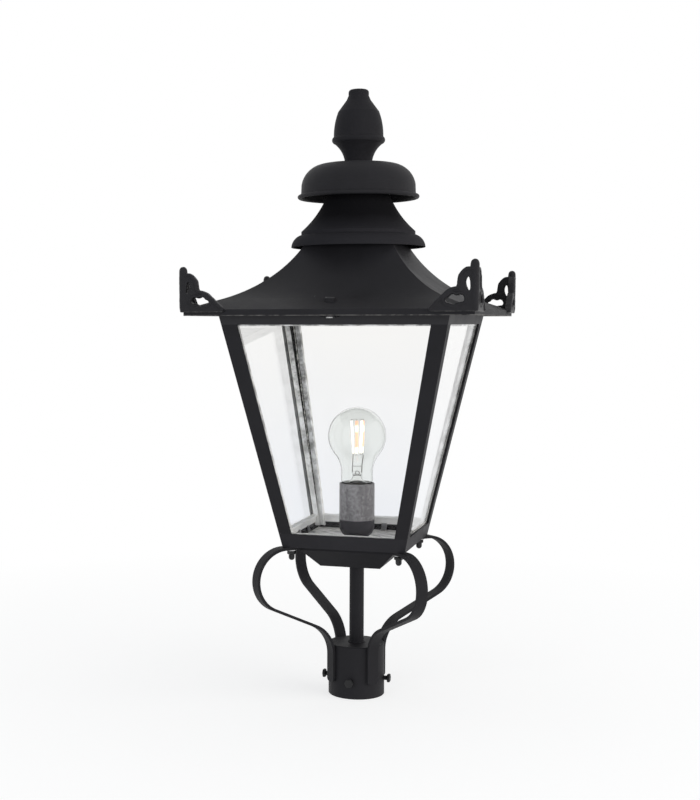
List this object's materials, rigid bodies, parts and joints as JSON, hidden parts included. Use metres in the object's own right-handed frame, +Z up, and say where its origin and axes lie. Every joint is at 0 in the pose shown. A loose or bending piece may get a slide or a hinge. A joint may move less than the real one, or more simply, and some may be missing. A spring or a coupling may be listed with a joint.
{
  "type": "post top lantern",
  "caption": "Tapered square post top lantern with a hinged hip roof, stacked vent, pierced corner castings, glass sides and a scrolled bracket on a round post collar.",
  "frame": {"origin": "centre of the post collar's mouth, where the post goes in", "axes": "+Z up along the post, -Y towards the side with the roof catch, +X to that side's right"},
  "size_m": [0.2894, 0.2894, 0.6245],
  "materials": {
    "black_coat": "fine-textured powder coat",
    "cast_coat": "painted casting",
    "clear_glass": "clear",
    "glazing_metal": "mill finish, worn",
    "floor_metal": "dull sheet",
    "zinc": "zinc plated",
    "dark_steel": "blackened",
    "holder_dark": "moulded",
    "holder_grey": "moulded",
    "ceramic": "glazed",
    "lamp_brass": "plain",
    "lamp_metal": "nickel plated",
    "lamp_black": "vitrite",
    "lamp_white": "opal strips"
  },
  "bodies": {
    "lantern": {"post_collar": "black_coat", "conduit_tube": "black_coat", "gear_pan": "black_coat", "base_frame": "black_coat", "top_frame": "black_coat", "catch_lug": "black_coat", "hinge_frame_leaves": "black_coat", "bracket_arm_back_right": "black_coat", "corner_post_back_right": "black_coat", "bracket_arm_back_left": "black_coat", "corner_post_back_left": "black_coat", "bracket_arm_front_left": "black_coat", "corner_post_front_left": "black_coat", "bracket_arm_front_right": "black_coat", "corner_post_front_right": "black_coat", "glass_pane_front": "clear_glass", "glazing_beads_front": "glazing_metal", "glass_pane_right": "clear_glass", "glazing_beads_right": "glazing_metal", "glass_pane_back": "clear_glass", "glazing_beads_back": "glazing_metal", "glass_pane_left": "clear_glass", "glazing_beads_left": "glazing_metal", "glazing_clips": "zinc", "floor_plate": "floor_metal", "arm_bolts": "zinc", "arm_washers": "zinc", "catch_nut": "zinc", "hinge_pins": "zinc", "holder_nipple": "zinc", "arm_nuts": "dark_steel", "holder_base": "holder_dark", "holder_skirt": "holder_grey", "holder_core": "ceramic", "holder_shell": "lamp_brass", "holder_contact": "lamp_brass"},
    "roof": {"roof_shell": "black_coat", "roof_seat": "black_coat", "vent_neck": "black_coat", "vent_screws": "zinc", "vent_cap": "black_coat", "vent_crossbar": "black_coat", "vent_rod": "zinc", "rod_nuts": "zinc", "hinge_roof_leaves": "black_coat", "corner_ornament_back_right": "cast_coat", "corner_ornament_back_left": "cast_coat", "corner_ornament_front_left": "cast_coat", "corner_ornament_front_right": "cast_coat"},
    "finial": {"finial": "cast_coat"},
    "catch_screw": {"catch_screw": "dark_steel"},
    "bulb": {"bulb_glass": "clear_glass", "bulb_cap": "lamp_metal", "bulb_insulator": "lamp_black", "bulb_stem": "clear_glass", "bulb_filaments": "lamp_white"},
    "set_screw_right": {"set_screw_right": "dark_steel"},
    "set_screw_back": {"set_screw_back": "dark_steel"},
    "set_screw_left": {"set_screw_left": "dark_steel"},
    "set_screw_front": {"set_screw_front": "dark_steel"}
  },
  "joints": [
    {"name": "roof_hinge", "type": "hinge", "parent": "lantern", "child": "roof", "pos_m": [0, 0.121, 0.40094], "axis": [-1, 0, 0], "range_deg": [0, 90]},
    {"name": "finial_turn", "type": "hinge", "parent": "roof", "child": "finial", "pos_m": [0, 0, 0.5515], "axis": [0, 0, 1], "continuous": true},
    {"name": "catch_turn", "type": "hinge", "parent": "roof", "child": "catch_screw", "pos_m": [0, -0.1175, 0.409], "axis": [0, 0, 1], "continuous": true},
    {"name": "bulb_lift", "type": "slide", "parent": "lantern", "child": "bulb", "axis": [0, 0, 1], "range_m": [0, 0.045]},
    {"name": "set_screw_right_travel", "type": "slide", "parent": "lantern", "child": "set_screw_right", "axis": [-1, 0, 0], "range_m": [-0.002, 0.0025]},
    {"name": "set_screw_back_travel", "type": "slide", "parent": "lantern", "child": "set_screw_back", "axis": [0, -1, 0], "range_m": [-0.002, 0.0025]},
    {"name": "set_screw_left_travel", "type": "slide", "parent": "lantern", "child": "set_screw_left", "axis": [1, 0, 0], "range_m": [-0.002, 0.0025]},
    {"name": "set_screw_front_travel", "type": "slide", "parent": "lantern", "child": "set_screw_front", "axis": [0, 1, 0], "range_m": [-0.002, 0.0025]}
  ]
}
